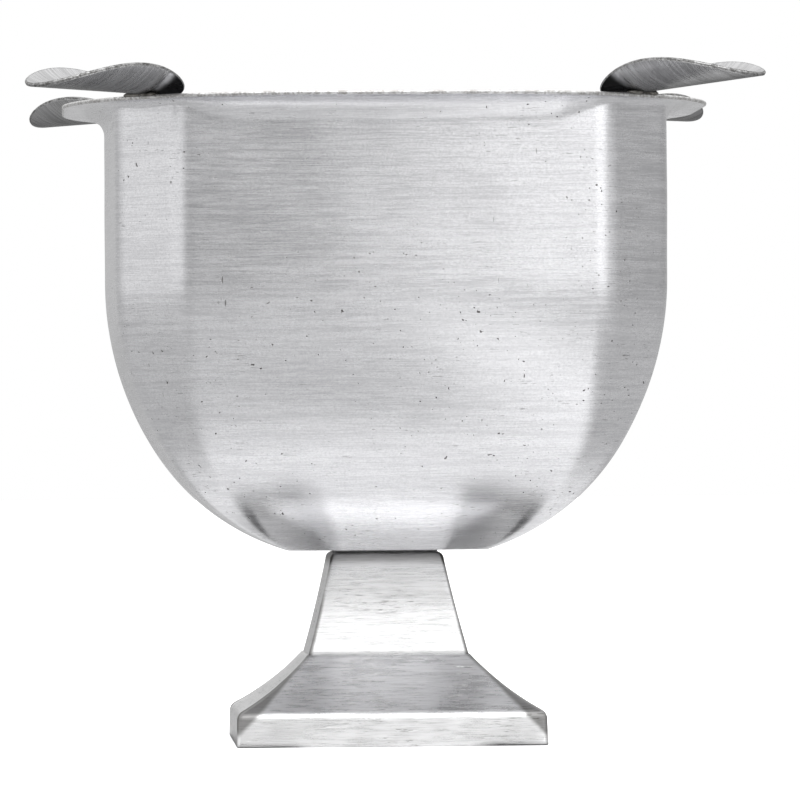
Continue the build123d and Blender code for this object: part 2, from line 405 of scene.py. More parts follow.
@dataclass(frozen=True)
class BrushedBowl:
    """Drawn sheet, brushed level all round, with pits, a few nicks and painted shade beside the foot."""

    name: str = "brushed_bowl"
    light: Colour = (0.93, 0.93, 0.95)
    dark: Colour = (0.46, 0.46, 0.48)
    speck: Colour = (0.10, 0.095, 0.09)
    fine: Grain = Grain((110.0, 110.0, 3400.0), 4.0, 0.7)
    coarse: Grain = Grain((22.0, 22.0, 700.0))
    cloud: Grain = Grain(even(28.0), 3.0)
    speckle: Grain = Grain(even(1500.0), 2.0, 0.6)
    dashes: Marks = Marks(
        Grain((190.0, 190.0, 2300.0), 2.0, 0.65), (0.64, 0.70), Grain((45.0, 45.0, 90.0)), (0.48, 0.62), 0.45
    )
    dots: Marks = Marks(
        Grain((760.0, 760.0, 900.0), 1.0), (0.725, 0.76), Grain(even(30.0)), (0.44, 0.56), 0.9
    )
    nicks: Marks = Marks(
        Grain((620.0, 620.0, 120.0), 1.0),
        (0.77, 0.80),
        Grain(even(22.0), turn=(0.3, 0.0, 0.0)),
        (0.50, 0.58),
        0.8,
    )
    fine_share: float = 0.70
    line_step: Span = (0.40, 0.58)
    line_share: float = 0.75
    contrast: float = 0.42
    speckle_step: Span = (0.38, 0.66)
    speckle_contrast: float = 0.24
    roughness: float = 0.255
    line_roughness: float = 0.22
    cloud_roughness: float = 0.12
    mark_roughness: float = 0.25
    line_relief: float = 0.7
    mark_relief: float = 0.8
    relief_depth: float = 0.06 * MM
    relief_strength: float = 0.55
    anisotropy: float = 0.50
    # painted shade: dark wedges on the turned-under faces beside the foot, standing in for the shadowed floor
    # mirrored there
    shade_paint: float = 0.75
    shade_paint_from: float = 61.0 * MM
    shade_paint_lean: float = 0.30
    shade_paint_ragged: float = 4.0 * MM
    shade_paint_starts: Span = (14.0 * MM, 19.0 * MM)
    shade_paint_stops: Span = (22.0 * MM, 34.0 * MM)
    shade_paint_height: Span = (70.0 * MM, 86.0 * MM)

    def shade_painted(self, graph: Graph, cloud: Value) -> Value:
        """Painted shade on the turned-under faces, to both sides of the foot.

        Args:
            graph: the material's nodes.
            cloud: pattern that makes their edges ragged.

        Returns:
            Their strength.
        """
        x, y, z = graph.axes(graph.place())
        beside = abs(x).lowest(abs(y)) - (z - self.shade_paint_from) * self.shade_paint_lean
        beside = beside + (cloud - MIDDLE) * self.shade_paint_ragged
        shade_paint = beside.rise(*self.shade_paint_starts) * (1.0 - beside.rise(*self.shade_paint_stops))
        return shade_paint * (1.0 - z.rise(*self.shade_paint_height)) * self.shade_paint

    def material(self) -> bpy.types.Material:
        """Build the material."""
        graph = Graph(self.name)
        cloud, speckle = self.cloud.on(graph), self.speckle.on(graph)
        lines = self.fine.on(graph) * self.fine_share + self.coarse.on(graph) * (1.0 - self.fine_share)
        shade = lines.rise(*self.line_step) * self.line_share + cloud * (1.0 - self.line_share)
        body = graph.eased(shade, self.dark, self.light, self.contrast)
        body = graph.blend(speckle.rise(*self.speckle_step) * self.speckle_contrast, body, self.dark)
        # painted shade beside the foot, mixed towards the dark tone
        body = graph.blend(self.shade_painted(graph, cloud), body, self.dark)
        marks = (self.dashes.on(graph) + self.dots.on(graph) + self.nicks.on(graph)).lowest(1.0)
        rough = uneven(self.roughness, (lines, self.line_roughness), (cloud, self.cloud_roughness))
        relief = lines * self.line_relief + speckle * (1.0 - self.line_relief) - marks * self.mark_relief
        varying = {
            "Base Color": graph.blend(marks, body, self.speck),
            "Roughness": rough + marks * self.mark_roughness,
            "Normal": graph.bump(relief, self.relief_depth, self.relief_strength),
        }
        return graph.finish(varying, {**METAL, "Anisotropic": self.anisotropy, **LEVEL_BRUSHING})


@dataclass(frozen=True)
class BrushedTrough:
    """Small sheet trough, brushed across its length and, on its underside copy, with painted shade at its
    inner end.
    """

    name: str
    turn: float
    light: Colour = (0.56, 0.56, 0.565)
    dark: Colour = (0.14, 0.14, 0.143)
    speck: Colour = (0.07, 0.068, 0.065)
    strokes: Grain = Grain((1500.0, 75.0, 75.0), 3.0, 0.6)
    long_strokes: Grain = Grain((520.0, 26.0, 26.0))
    cloud: Grain = Grain(even(60.0), 3.0)
    dots: Grain = Grain(even(900.0), 1.0)
    dot_step: Span = (0.72, 0.80)
    dot_strength: float = 0.7
    stroke_share: float = 0.6
    line_step: Span = (0.35, 0.65)
    contrast: float = 0.45
    roughness: float = 0.27
    line_roughness: float = 0.2
    cloud_roughness: float = 0.15
    dot_roughness: float = 0.2
    dot_relief: float = 0.8
    relief_depth: float = 0.07 * MM
    relief_strength: float = 0.5
    # painted shade: near-black tone, reach, fade and ragged edge at the inner end of the underside copy, with
    # its greyed reflection tint and extra roughness
    painted_end_shade: Colour = (0.03, 0.03, 0.03)
    painted_end_shade_to: float = 0.0
    painted_end_shade_fade: float = 5.0 * MM
    painted_end_shade_ragged: float = 4.0 * MM
    shaded_underside_tint: float = 0.35
    painted_end_shade_roughness: float = 0.4

    def material(self) -> bpy.types.Material:
        """Build the material."""
        graph = Graph(self.name)
        turn = (0.0, 0.0, self.turn)
        strokes, long_strokes = self.strokes.on(graph, turn), self.long_strokes.on(graph, turn)
        cloud = self.cloud.on(graph)
        dots = self.dots.on(graph).rise(*self.dot_step)
        lines = strokes * self.stroke_share + long_strokes * (1.0 - self.stroke_share)
        body = graph.eased(lines.rise(*self.line_step), self.dark, self.light, self.contrast)
        rough = uneven(self.roughness, (lines, self.line_roughness), (cloud, self.cloud_roughness))
        rough = rough + dots * self.dot_roughness
        constant = dict(METAL)
        # painted shade: the underside copy darkens its inner end, over the bowl's mouth, and greys the
        # reflections of the whole copy
        if self.painted_end_shade_to > 0.0:
            x, y, _ = graph.axes(graph.place())
            reach = x * math.cos(self.turn) - y * math.sin(self.turn) + (cloud - MIDDLE) * self.painted_end_shade_ragged
            unshaded = reach.rise(self.painted_end_shade_to, self.painted_end_shade_to + self.painted_end_shade_fade)
            body = graph.blend(unshaded, self.painted_end_shade, body)
            rough = rough + (1.0 - unshaded) * self.painted_end_shade_roughness
            constant["Specular Tint"] = _rgba(even(self.shaded_underside_tint))
        varying = {
            "Base Color": graph.blend(dots * self.dot_strength, body, self.speck),
            "Roughness": rough.lowest(1.0),
            "Normal": graph.bump(lines - dots * self.dot_relief, self.relief_depth, self.relief_strength),
        }
        return graph.finish(varying, constant)


@dataclass(frozen=True)
class FiledEdge:
    """Cut edge of the sheet, filed by hand and left dark in its hollows."""

    name: str = "filed_edge"
    light: Colour = (0.42, 0.42, 0.42)
    dark: Colour = (0.13, 0.128, 0.125)
    patches: Grain = Grain(even(420.0), 3.0, 0.6)
    fine: Grain = Grain(even(1400.0))
    step: Span = (0.36, 0.64)
    roughness: float = 0.55
    polish: float = 0.25
    relief_depth: float = 0.1 * MM
    relief_strength: float = 0.6

    def material(self) -> bpy.types.Material:
        """Build the material."""
        graph = Graph(self.name)
        fine = self.fine.on(graph)
        share = (self.patches.on(graph) * MIDDLE + fine * MIDDLE).rise(*self.step)
        varying = {
            "Base Color": graph.blend(share, self.dark, self.light),
            "Roughness": self.roughness - share * self.polish,
            "Normal": graph.bump(fine, self.relief_depth, self.relief_strength),
        }
        return graph.finish(varying, METAL)


@dataclass(frozen=True)
class CastFoot:
    """Cast metal, brushed coarsely and level, with painted shade along its corners, on two side faces and
    under the bowl, and dark scratches.
    """

    name: str
    half_bottom: float
    half_top: float
    bottom: float
    top: float
    light: Colour = (0.95, 0.95, 0.955)
    dark: Colour = (0.50, 0.50, 0.50)
    # dark tone of the scratches and of the painted shade
    shade_and_scratches_colour: Colour = (0.085, 0.08, 0.075)
    lines: Grain = Grain((120.0, 120.0, 3000.0), 4.0, 0.7)
    broad: Grain = Grain((30.0, 30.0, 520.0))
    cloud: Grain = Grain((70.0, 70.0, 90.0), 3.0)
    scratches: Marks = Marks(
        Grain((160.0, 160.0, 2200.0), 3.0, 0.7),
        (0.56, 0.66),
        Grain((55.0, 55.0, 75.0), turn=(0.0, 0.0, 0.4)),
        (0.50, 0.64),
        0.6,
    )
    line_share: float = 0.72
    line_step: Span = (0.38, 0.58)
    contrast: float = 0.50
    roughness: float = 0.29
    line_roughness: float = 0.30
    cloud_roughness: float = 0.15
    shade_and_scratches_roughness: float = 0.2
    relief_depth: float = 0.12 * MM
    relief_strength: float = 0.55
    anisotropy: float = 0.45
    # painted shade: darker towards the top under the bowl, on the two side faces along X and along the
    # vertical corners
    shade: float = 0.0
    shade_reach: float = 5.0 * MM
    shade_full: float = 0.3
    side_shade: float = 0.28
    side_shade_step: Span = (0.99, 1.04)
    corner: float = 0.72
    corner_step: Span = (0.93, 0.985)
    corner_ragged: float = 0.05

    def shade_and_scratches(self, graph: Graph, cloud: Value) -> Value:
        """Painted shade along the corners, on the two side faces and under the bowl, to which the caller adds
        the scratches.

        Args:
            graph: the material's nodes.
            cloud: pattern that makes its edges ragged.

        Returns:
            Its strength.
        """
        x, y, z = graph.axes(graph.place())
        under = z.rise(self.top - self.shade_reach, self.top - self.shade_full * self.shade_reach)
        slope = (self.half_top - self.half_bottom) / (self.top - self.bottom)
        reach = self.half_bottom + (z - self.bottom) * slope
        side_shade = (abs(x) / abs(y).highest(MM)).rise(*self.side_shade_step)
        nearest = (abs(x).lowest(abs(y)) / reach).lowest(1.0)
        corner = (nearest + (cloud - MIDDLE) * self.corner_ragged).rise(*self.corner_step)
        return corner * self.corner + under * self.shade + side_shade * self.side_shade

    def material(self) -> bpy.types.Material:
        """Build the material."""
        graph = Graph(self.name)
        cloud, scratches = self.cloud.on(graph), self.scratches.on(graph)
        brushed = self.lines.on(graph) * self.line_share + self.broad.on(graph) * (1.0 - self.line_share)
        body = graph.eased(brushed.rise(*self.line_step), self.dark, self.light, self.contrast)
        # scratches plus painted shade, mixed towards the dark tone
        shade_and_scratches = (scratches + self.shade_and_scratches(graph, cloud)).lowest(1.0)
        rough = uneven(self.roughness, (brushed, self.line_roughness), (cloud, self.cloud_roughness))
        varying = {
            "Base Color": graph.blend(shade_and_scratches, body, self.shade_and_scratches_colour),
            "Roughness": rough + shade_and_scratches * self.shade_and_scratches_roughness,
            "Normal": graph.bump(brushed - scratches, self.relief_depth, self.relief_strength),
        }
        return graph.finish(varying, {**METAL, "Anisotropic": self.anisotropy, **LEVEL_BRUSHING})


@dataclass(frozen=True)
class PlainFinish:
    """Finish of the small or hidden pieces: one colour with cloudy variation and a fine relief."""

    name: str
    light: Colour
    dark: Colour
    cells: Triple
    roughness: float
    metallic: float = 0.0
    depth: float = 0.08 * MM
    sheen: float = 0.0
    cloud: Grain = Grain(even(45.0))
    pattern_share: float = 0.7
    step: Span = (0.35, 0.65)
    swing: float = 0.2
    relief_strength: float = 0.6

    def material(self) -> bpy.types.Material:
        """Build the material."""
        graph = Graph(self.name)
        pattern = Grain(self.cells, 3.0, 0.6).on(graph)
        share = pattern * self.pattern_share + self.cloud.on(graph) * (1.0 - self.pattern_share)
        varying = {
            "Base Color": graph.blend(share.rise(*self.step), self.dark, self.light),
            "Roughness": uneven(self.roughness, (pattern, self.swing)),
            "Normal": graph.bump(pattern, self.depth, self.relief_strength),
        }
        return graph.finish(varying, {"Metallic": self.metallic, "Sheen Weight": self.sheen})


# ---------------------------------------------------------------- meshes


class Ends(Enum):
    """How the first and last rings of a form are closed."""

    JOINED = "joined"
    POLES = "poles"


def ring_form(
    name: str,
    rings: np.ndarray,
    ends: Ends,
    finishes: list[bpy.types.Material],
    edge_rings: range | None = None,
) -> bpy.types.Object:
    """Build a closed form from rings of points.

    Args:
        name: the piece's name.
        rings: array of rings by points by XYZ, in metres. All rings have as many points.
        ends: whether the last ring meets the first, or both ends close on their middles.
        finishes: the piece's materials. The second one dresses the edge rings.
        edge_rings: rings whose faces take the second material.

    Returns:
        The new object.
    """
    count, points = rings.shape[:2]
    corners = np.arange(points)
    following = np.roll(corners, -1)
    steps = count if ends is Ends.JOINED else count - 1
    faces: list[list[int]] = []
    slots: list[int] = []
    for step in range(steps):
        low = step * points
        high = ((step + 1) % count) * points
        quads = np.stack([low + corners, low + following, high + following, high + corners], axis=1)
        faces.extend(quads.tolist())
        slots.extend([int(edge_rings is not None and step in edge_rings)] * points)
    vertices = rings.reshape(-1, 3)
    if ends is Ends.POLES:
        poles = np.stack([rings[0].mean(axis=0), rings[-1].mean(axis=0)])
        first_pole = len(vertices)
        vertices = np.concatenate([vertices, poles])
        last_ring = (count - 1) * points
        for here, there in zip(corners.tolist(), following.tolist()):
            faces.append([first_pole, there, here])
            faces.append([first_pole + 1, last_ring + here, last_ring + there])
            slots.extend([0, 0])
    mesh = bpy.data.meshes.new(name)
    mesh.from_pydata(vertices.tolist(), [], faces)
    for finish in finishes:
        mesh.materials.append(finish)
    mesh.polygons.foreach_set("material_index", slots)
    mesh.shade_smooth()
    mesh.update()
    if enclosed_volume(mesh) < 0.0:
        mesh.flip_normals()
    return link(name, mesh)


def link(name: str, data: bpy.types.ID) -> bpy.types.Object:
    """Make an object from a mesh, light or camera and put it in the scene."""
    made = bpy.data.objects.new(name, data)
    bpy.context.scene.collection.objects.link(made)
    return made


def enclosed_volume(mesh: bpy.types.Mesh) -> float:
    """Volume of a closed mesh, which is negative where its faces look inwards.

    Args:
        mesh: the closed mesh.

    Returns:
        Cubic metres.
    """
    mesh.calc_loop_triangles()
    points = np.array([vertex.co for vertex in mesh.vertices])
    first, second, third = points[np.array([triangle.vertices for triangle in mesh.loop_triangles]).T]
    return float((first * np.cross(second, third)).sum()) / 6.0


def outwards(rings: np.ndarray) -> np.ndarray:
    """Level directions from the axis to each point, of length 1."""
    away = rings * np.array([1.0, 1.0, 0.0])
    return away / np.linalg.norm(away, axis=-1, keepdims=True)


def wobble(points: np.ndarray, amount: float, waves: float, seed: int) -> np.ndarray:
    """Soft unevenness, as a sum of a few waves in different directions.

    Args:
        points: array of points by XYZ, in metres.
        amount: about the largest value, in metres.
        waves: waves in a metre.
        seed: picks the directions and phases.

    Returns:
        One number for each point.
    """
    draw = np.random.default_rng(seed)
    total = np.zeros(points.shape[:-1])
    count = 7
    shortest, longest = 0.5, 1.5
    for _ in range(count):
        direction = draw.normal(size=3)
        direction *= 2.0 * math.pi * waves * draw.uniform(shortest, longest) / np.linalg.norm(direction)
        total += np.sin(points @ direction + draw.uniform(0.0, 2.0 * math.pi))
    return total * amount / math.sqrt(count)


def square_ring(half: float, radius: float, height: float, side_steps: int, corner_steps: int) -> np.ndarray:
    """Ring in the outline of a square with rounded corners.

    Args:
        half: half its width, in metres.
        radius: corner radius, in metres.
        height: its height, in metres.
        side_steps: points along each side.
        corner_steps: points round each corner.

    Returns:
        Array of points by XYZ.
    """
    centre = half - radius
    turns = np.linspace(-math.pi / 2, 0.0, corner_steps)
    corner = np.stack([centre + radius * np.cos(turns), -centre + radius * np.sin(turns)], axis=1)
    along = np.linspace(-centre, centre, side_steps + 2)[1:-1]
    side = np.stack([np.full(side_steps, half), along], axis=1)
    quarter = np.concatenate([corner, side])
    quarters = []
    for turn in range(4):
        c, s = math.cos(turn * math.pi / 2), math.sin(turn * math.pi / 2)
        quarters.append(quarter @ np.array([[c, s], [-s, c]]))
    flat = np.concatenate(quarters)
    return np.column_stack([flat, np.full(len(flat), height)])


def tower_rings(profile: list[Triple], side_steps: int, corner_steps: int) -> np.ndarray:
    """Rings of a square form from its profile.

    Args:
        profile: half width, corner radius and height of each ring, in metres.
        side_steps: points along each side.
        corner_steps: points round each corner.

    Returns:
        Array of rings by points by XYZ.
    """
    return np.stack([square_ring(half, radius, z, side_steps, corner_steps) for half, radius, z in profile])


def arc(centre: Span, radius: float, start: float, end: float, steps: int) -> list[Span]:
    """Points of an arc in a profile.

    Args:
        centre: its middle, as reach and height.
        radius: its radius.
        start: first direction, in degrees from outwards.
        end: last direction, in degrees.
        steps: number of points less one.

    Returns:
        Pairs of reach and height.
    """
    turns = np.radians(np.linspace(start, end, steps + 1))
    return [(centre[0] + radius * math.cos(t), centre[1] + radius * math.sin(t)) for t in turns]


def bowed(first: Span, last: Span, sag: float, steps: int) -> list[Span]:
    """Points of a slightly bowed line in a profile.

    Args:
        first: where it starts, as reach and height.
        last: where it ends.
        sag: how far its middle moves to the left of its direction, in metres.
        steps: number of points less one.

    Returns:
        Pairs of reach and height.
    """
    a, b = np.array(first), np.array(last)
    normal = np.array([-(b - a)[1], (b - a)[0]]) / np.linalg.norm(b - a)
    shares = np.linspace(0.0, 1.0, steps + 1)
    return [tuple(a + (b - a) * s + normal * sag * 4.0 * s * (1.0 - s)) for s in shares]


# ---------------------------------------------------------------- bowl


@dataclass(frozen=True)
class TurnedUnder:
    """Profile of a wall that drops straight and then curves under in two tangent arcs."""

    top_reach: float
    floor_reach: float
    floor_height: float
    upper_radius: float
    upper_turn: float
    end_turn: float

    def reach(self, height: np.ndarray, inset: float) -> np.ndarray:
        """Distance of the wall from the axis.

        Args:
            height: heights to read, in metres.
            inset: how far the surface lies inside the outer one, in metres.

        Returns:
            One distance for each height.
        """
        first, end = math.radians(self.upper_turn), math.radians(self.end_turn)
        lower = self.top_reach - self.floor_reach - self.upper_radius * (1.0 - math.cos(first))
        lower /= math.cos(first) - math.cos(end)
        drop = self.upper_radius * math.sin(first) + lower * (math.sin(end) - math.sin(first))
        start = self.floor_height + drop
        step = self.upper_radius - lower
        centre_reach = self.top_reach - self.upper_radius + step * math.cos(first)
        centre_height = start - step * math.sin(first)
        below = np.maximum(start - height, 0.0)
        upper = self.upper_radius - inset
        high = self.top_reach - self.upper_radius + np.sqrt(np.maximum(upper**2 - below**2, 0.0))
        low = centre_reach + np.sqrt(np.maximum((lower - inset) ** 2 - (height - centre_height) ** 2, 0.0))
        return np.where(below <= upper * math.sin(first), high, low)


@dataclass
class Bowl:
    """The drawn bowl with its flared rim."""

    face_distance: float = 87.25 * MM
    face_crown: float = 3.0 * MM
    facet_leg: float = 19.0 * MM
    floor_half: float = 31.57 * MM
    floor_crown: float = 0.6 * MM
    floor_leg: float = 1.8 * MM
    facet_crown: float = 0.25 * MM
    ridge_softness: float = 3.2 * MM
    sheet: float = 1.2 * MM
    corner_radius: float = 80.0 * MM
    flange_half: float = 100.6 * MM
    flare_radius: float = 7.5 * MM
    flare_share: float = 0.85
    hole_radius: float = 4.4 * MM
    face_bend: tuple[float, float, float] = (99.4 * MM, 31.6, 72.6)
    facet_bend: tuple[float, float, float] = (82.5 * MM, 50.0, 75.0)
    ridge_place: Span = (65.2 * MM, 84.3 * MM)
    ridge_span: Span = (4.0, 3.0)
    direction_steps: tuple[int, int, int] = (30, 22, 5)
    outside_steps: tuple[int, int] = (84, 14)
    inside_steps: tuple[int, int] = (60, 12)
    crowding: float = 1.25
    unevenness: tuple[tuple[float, float, int], ...] = ((0.16 * MM, 9.0, 5), (0.048 * MM, 30.0, 6))
    even_above_floor: float = 20.0 * MM
    even_below_rim: float = 12.0 * MM
    flat_shares: tuple[float, ...] = (0.35, 0.7, 1.0)
    edge_turns: tuple[float, ...] = (-60.0, -30.0, 0.0, 30.0, 60.0)
    floor_shares: tuple[float, ...] = (0.0, 0.15, 0.3, 0.45, 0.6, 0.75, 0.9, 0.97)
    edge_colours: tuple[Colour, Colour] = ((0.82, 0.82, 0.82), (0.42, 0.41, 0.40))
    floor: float = field(init=False)
    rim: float = field(init=False)
    edge_rings: range = field(init=False)

    def __post_init__(self) -> None:
        """Take the bowl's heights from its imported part."""
        low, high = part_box("bowl")
        self.floor, self.rim = low.z, high.z

    def directions(self) -> np.ndarray:
        """Directions of the ring's points, closer together at the ridges, in radians from the front."""
        ridge = math.degrees(math.atan2(*self.ridge_place))
        stops = (0.0, ridge - self.ridge_span[0], ridge + self.ridge_span[1], 45.0)
        spans = zip(stops, stops[1:], self.direction_steps)
        half = np.concatenate([np.linspace(a, b, steps, endpoint=False) for a, b, steps in spans])
        quarter = np.concatenate([half, [45.0], 90.0 - half[:0:-1]])
        return np.radians(np.concatenate([quarter + 90.0 * turn for turn in range(4)]))

    def wall_reach(self, turn: np.ndarray, height: np.ndarray, inset: float) -> np.ndarray:
        """Distance of the wall from the axis in a direction, before the flare.

        Args:
            turn: directions, in radians from the front.
            height: heights, in metres.
            inset: 0 for the outside, the sheet's thickness for the inside.

        Returns:
            Distances, in metres.
        """
        side = TurnedUnder(self.face_distance, self.floor_half, self.floor, *self.face_bend)
        facet_top = (2 * (self.face_distance - self.face_crown) - self.facet_leg) / math.sqrt(2)
        facet_floor = (2 * (self.floor_half - self.floor_crown) - self.floor_leg) / math.sqrt(2)
        corner = TurnedUnder(facet_top, facet_floor, self.floor, *self.facet_bend)
        face, outer = side.reach(height, inset), side.reach(height, 0.0)
        share = (outer - self.floor_half) / (self.face_distance - self.floor_half)
        crown = self.floor_crown + (self.face_crown - self.floor_crown) * share
        facet = corner.reach(height, inset) + self.facet_crown
        ridge_y = face - crown
        ridge_x = facet * math.sqrt(2) - ridge_y
        radius = (ridge_x**2 + crown**2) / (2 * crown)
        within = (turn + math.pi / 4) % (math.pi / 2) - math.pi / 4
        centre = face - radius
        face_reach = centre * np.cos(within) + np.sqrt(radius**2 - (centre * np.sin(within)) ** 2)
        facet_reach = facet / np.cos(math.pi / 4 - np.abs(within))
        soft = self.ridge_softness * (0.5 + 0.5 * share)
        mix = np.clip(0.5 + 0.5 * (facet_reach - face_reach) / soft, 0.0, 1.0)
        return facet_reach * (1 - mix) + face_reach * mix - soft * mix * (1 - mix)

    def flange_reach(self, turn: np.ndarray) -> np.ndarray:
        """Distance of the flange's edge from the axis.

        Args:
            turn: directions, in radians.

        Returns:
            Distances, in metres.
        """
        within = np.abs((turn + math.pi / 4) % (math.pi / 2) - math.pi / 4)
        centre = self.flange_half - self.corner_radius
        along = centre * (np.cos(within) + np.sin(within))
        across = centre * (np.cos(within) - np.sin(within))
        rounded = along + np.sqrt(self.corner_radius**2 - across**2)
        straight = np.tan(within) * self.flange_half <= centre
        return np.where(straight, self.flange_half / np.cos(within), rounded)

    def skin(self, inset: float, body_steps: int, flare_steps: int) -> list[np.ndarray]:
        """Rings of one surface, from the floor's edge to the end of the flare.

        Args:
            inset: 0 for the outside, the sheet's thickness for the inside.
            body_steps: rings on the wall.
            flare_steps: rings round the flare.

        Returns:
            Rings, each an array of points by XYZ.
        """
        turn = self.directions()
        top = np.full_like(turn, self.rim - self.sheet)
        overhang = self.flange_reach(turn) - self.wall_reach(turn, top, 0.0)
        radius = np.minimum(self.flare_radius, self.flare_share * overhang)
        start = top - radius
        floor = self.floor + inset
        rings = []
        for step in range(body_steps + 1):
            height = floor + (start - floor) * (step / body_steps) ** self.crowding
            rings.append(self._ring(turn, self.wall_reach(turn, height, inset), height))
        wall = self.wall_reach(turn, start, inset)
        for step in range(1, flare_steps + 1):
            bend = math.pi / 2 * step / flare_steps
            outer = radius + inset
            reach = wall + outer * (1 - math.cos(bend))
            rings.append(self._ring(turn, reach, start + outer * math.sin(bend)))
        return rings

    def _ring(self, turn: np.ndarray, reach: np.ndarray, height: np.ndarray) -> np.ndarray:
        """Points of a ring from directions, distances and heights."""
        return np.column_stack([reach * np.sin(turn), -reach * np.cos(turn), height])

    def rings(self) -> np.ndarray:
        """All rings of the sheet: floor, outside, flange's edge, inside and back to the hole."""
        turn = self.directions()
        edge = self.flange_reach(turn)
        outside = self.skin(0.0, *self.outside_steps)
        inside = self.skin(self.sheet, *self.inside_steps)
        bend = self.sheet / 2
        flat = []
        start = np.hypot(outside[-1][:, 0], outside[-1][:, 1])
        for share in self.flat_shares:
            reach = start + (edge - bend - start) * share
            flat.append(self._ring(turn, reach, np.full_like(turn, self.rim - self.sheet)))
        tip = []
        for angle in np.radians(self.edge_turns):
            height = np.full_like(turn, self.rim - bend + bend * math.sin(angle))
            tip.append(self._ring(turn, edge - bend + bend * math.cos(angle), height))
        back = [ring + np.array([0.0, 0.0, self.sheet]) for ring in flat[::-1]]
        outer_floor = self._floor_rings(turn, outside[0], self.floor)
        inner_floor = self._floor_rings(turn, inside[0], self.floor + self.sheet)
        before = len(outer_floor) + len(outside) + len(flat)
        self.edge_rings = range(before - 1, before + len(tip))
        rings = outer_floor + outside + flat + tip + back + inside[::-1] + inner_floor[::-1]
        return np.stack(rings)

    def _floor_rings(self, turn: np.ndarray, rim: np.ndarray, height: float) -> list[np.ndarray]:
        """Rings of a flat floor, from the hole to near its rim."""
        hole = self._ring(turn, np.full_like(turn, self.hole_radius), np.full_like(turn, height))
        return [hole + (rim - hole) * share for share in self.floor_shares]

    def build(self) -> bpy.types.Object:
        """Make and dress the bowl."""
        rings = self.rings()
        above = np.clip((rings[..., 2] - self.floor) / self.even_above_floor, 0, 1)
        below = np.clip((self.rim - rings[..., 2]) / self.even_below_rim, 0, 1)
        push = sum(wobble(rings, amount, waves, seed) for amount, waves, seed in self.unevenness)
        rings = rings + outwards(rings) * (push * above * below)[..., None]
        finishes = [BrushedBowl().material(), FiledEdge("rim_edge", *self.edge_colours).material()]
        bowl = ring_form("bowl_sheet", rings, Ends.JOINED, finishes, self.edge_rings)
        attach(bowl, BODY)
        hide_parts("bowl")
        log.info("bowl_sheet: %d faces", len(bowl.data.polygons))
        return bowl


# ---------------------------------------------------------------- rests


class Corner(Enum):
    """The four diagonals that carry a rest: name, direction and lift of its outer end, in degrees."""

    FRONT_LEFT = ("front_left", -135.0, 0.6)
    FRONT_RIGHT = ("front_right", -45.0, 3.8)
    BACK_LEFT = ("back_left", 135.0, -0.9)
    BACK_RIGHT = ("back_right", 45.0, 0.6)

    @property
    def label(self) -> str:
        """The corner's name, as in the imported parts."""
        return self.value[0]

    @property
    def turn(self) -> float:
        """Direction of the diagonal, in radians from +X."""
        return math.radians(self.value[1])

    @property
    def lift(self) -> float:
        """Lift of the rest's outer end, in radians."""
        return math.radians(self.value[2])


